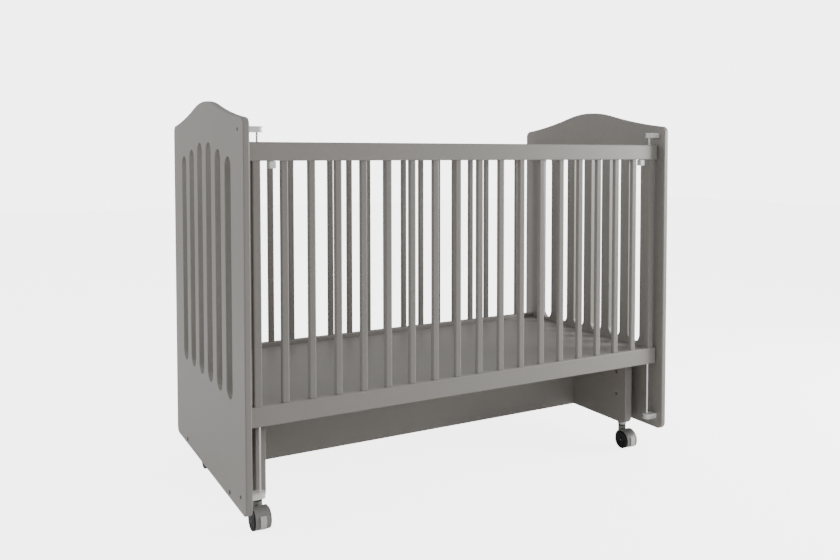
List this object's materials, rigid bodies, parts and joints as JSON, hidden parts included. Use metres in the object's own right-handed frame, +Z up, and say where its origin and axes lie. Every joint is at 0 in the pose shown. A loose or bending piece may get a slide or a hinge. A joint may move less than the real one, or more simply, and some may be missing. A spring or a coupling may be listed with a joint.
{
  "type": "swinging crib",
  "caption": "Slatted crib with arched slotted end panels, a drop side on guide rods, and a swinging bed hung on links from a castered stand.",
  "frame": {"origin": "on the floor, under the middle of the crib", "axes": "+X along the crib towards its right end, -Y towards the drop side, +Z up"},
  "size_m": [1.241, 0.677, 1.0004],
  "materials": {
    "grey_paint": "satin grey paint",
    "base_board": "satin grey paint",
    "bare_wood": "planed",
    "white_plastic": "satin",
    "bright_steel": "polished",
    "dark_steel": "blackened",
    "zinc_steel": "zinc plated",
    "black_nylon": "satin",
    "grey_plastic": "satin",
    "pale_plastic": "satin"
  },
  "bodies": {
    "stand": {"left_stand_board": "grey_paint", "right_stand_board": "grey_paint", "stretcher": "grey_paint", "stretcher_bolts": "zinc_steel", "stretcher_barrel_nuts": "zinc_steel", "upper_pivot_bolts": "dark_steel", "upper_pivot_spacers": "zinc_steel", "upper_pivot_nuts": "zinc_steel", "caster_stems": "zinc_steel", "caster_rings": "black_nylon"},
    "bed": {"left_end_panel": "grey_paint", "right_end_panel": "grey_paint", "rear_top_rail": "grey_paint", "rear_bottom_rail": "grey_paint", "rear_slats": "grey_paint", "rear_rail_dowels": "bare_wood", "bed_base": "base_board", "base_bearers": "bare_wood", "base_stiffeners": "bare_wood", "guide_rods": "bright_steel", "rod_brackets": "white_plastic", "bracket_screws": "dark_steel", "lower_pivot_bolts": "dark_steel", "lower_pivot_spacers": "zinc_steel", "lower_pivot_nuts": "zinc_steel"},
    "drop_side": {"drop_side_top_rail": "grey_paint", "drop_side_bottom_rail": "grey_paint", "drop_side_slats": "grey_paint", "drop_side_posts": "grey_paint", "latch_housings": "white_plastic", "left_latch_spring": "zinc_steel", "right_latch_spring": "zinc_steel"},
    "left_latch": {"left_latch_slider": "white_plastic"},
    "right_latch": {"right_latch_slider": "white_plastic"},
    "front_left_link": {"front_left_swing_link": "zinc_steel", "front_left_link_bushes": "white_plastic"},
    "front_left_caster": {"front_left_caster_hood": "grey_plastic", "front_left_pedal_pin": "zinc_steel"},
    "front_left_wheels": {"front_left_caster_wheels": "black_nylon", "front_left_caster_axle": "zinc_steel"},
    "front_left_pedal": {"front_left_brake_pedal": "pale_plastic"},
    "front_right_link": {"front_right_swing_link": "zinc_steel", "front_right_link_bushes": "white_plastic"},
    "front_right_caster": {"front_right_caster_hood": "grey_plastic", "front_right_pedal_pin": "zinc_steel"},
    "front_right_wheels": {"front_right_caster_wheels": "black_nylon", "front_right_caster_axle": "zinc_steel"},
    "front_right_pedal": {"front_right_brake_pedal": "pale_plastic"},
    "rear_left_link": {"rear_left_swing_link": "zinc_steel", "rear_left_link_bushes": "white_plastic"},
    "rear_left_caster": {"rear_left_caster_hood": "grey_plastic"},
    "rear_left_wheels": {"rear_left_caster_wheels": "black_nylon", "rear_left_caster_axle": "zinc_steel"},
    "rear_right_link": {"rear_right_swing_link": "zinc_steel", "rear_right_link_bushes": "white_plastic"},
    "rear_right_caster": {"rear_right_caster_hood": "grey_plastic"},
    "rear_right_wheels": {"rear_right_caster_wheels": "black_nylon", "rear_right_caster_axle": "zinc_steel"}
  },
  "joints": [
    {"name": "swing", "type": "hinge", "parent": "stand", "child": "front_left_link", "pos_m": [-0.5865, -0.21, 0.2206], "axis": [1, 0, 0], "range_deg": [-12, 12]},
    {"name": "bed_level", "type": "hinge", "parent": "front_left_link", "child": "bed", "pos_m": [-0.5865, -0.21, 0.0884], "axis": [1, 0, 0], "range_deg": [-12, 12]},
    {"name": "front_left_swivel", "type": "hinge", "parent": "stand", "child": "front_left_caster", "pos_m": [-0.5575, -0.222, 0.072], "axis": [0, 0, 1], "continuous": true},
    {"name": "front_left_wheel_spin", "type": "hinge", "parent": "front_left_caster", "child": "front_left_wheels", "pos_m": [-0.5575, -0.24, 0.025], "axis": [1, 0, 0], "continuous": true},
    {"name": "front_left_brake", "type": "hinge", "parent": "front_left_caster", "child": "front_left_pedal", "pos_m": [-0.5575, -0.2647, 0.03652], "axis": [1, 0, 0], "range_deg": [-20, 0]},
    {"name": "front_right_link_swing", "type": "hinge", "parent": "stand", "child": "front_right_link", "pos_m": [0.5865, -0.21, 0.2206], "axis": [1, 0, 0], "range_deg": [-12, 12]},
    {"name": "front_right_swivel", "type": "hinge", "parent": "stand", "child": "front_right_caster", "pos_m": [0.5575, -0.222, 0.072], "axis": [0, 0, 1], "continuous": true},
    {"name": "front_right_wheel_spin", "type": "hinge", "parent": "front_right_caster", "child": "front_right_wheels", "pos_m": [0.5575, -0.24, 0.025], "axis": [1, 0, 0], "continuous": true},
    {"name": "front_right_brake", "type": "hinge", "parent": "front_right_caster", "child": "front_right_pedal", "pos_m": [0.5575, -0.2647, 0.03652], "axis": [1, 0, 0], "range_deg": [-20, 0]},
    {"name": "rear_left_link_swing", "type": "hinge", "parent": "stand", "child": "rear_left_link", "pos_m": [-0.5865, 0.21, 0.2206], "axis": [1, 0, 0], "range_deg": [-12, 12]},
    {"name": "rear_left_swivel", "type": "hinge", "parent": "stand", "child": "rear_left_caster", "pos_m": [-0.5575, 0.222, 0.072], "axis": [0, 0, 1], "continuous": true},
    {"name": "rear_left_wheel_spin", "type": "hinge", "parent": "rear_left_caster", "child": "rear_left_wheels", "pos_m": [-0.5575, 0.204, 0.025], "axis": [1, 0, 0], "continuous": true},
    {"name": "rear_right_link_swing", "type": "hinge", "parent": "stand", "child": "rear_right_link", "pos_m": [0.5865, 0.21, 0.2206], "axis": [1, 0, 0], "range_deg": [-12, 12]},
    {"name": "rear_right_swivel", "type": "hinge", "parent": "stand", "child": "rear_right_caster", "pos_m": [0.5575, 0.222, 0.072], "axis": [0, 0, 1], "continuous": true},
    {"name": "rear_right_wheel_spin", "type": "hinge", "parent": "rear_right_caster", "child": "rear_right_wheels", "pos_m": [0.5575, 0.204, 0.025], "axis": [1, 0, 0], "continuous": true},
    {"name": "drop_side_slide", "type": "slide", "parent": "bed", "child": "drop_side", "axis": [0, 0, 1], "range_m": [-0.147, 0]},
    {"name": "left_latch_slide", "type": "slide", "parent": "drop_side", "child": "left_latch", "axis": [1, 0, 0], "range_m": [0, 0.007], "stiffness_N_per_m": 300, "deforming": ["left_latch_spring"]},
    {"name": "right_latch_slide", "type": "slide", "parent": "drop_side", "child": "right_latch", "axis": [-1, 0, 0], "range_m": [0, 0.007], "stiffness_N_per_m": 300, "deforming": ["right_latch_spring"]}
  ],
  "couplings": [
    {"joint": "bed_level", "follows": "swing", "ratio": -1},
    {"joint": "front_right_link_swing", "follows": "swing", "ratio": 1},
    {"joint": "rear_left_link_swing", "follows": "swing", "ratio": 1},
    {"joint": "rear_right_link_swing", "follows": "swing", "ratio": 1}
  ]
}
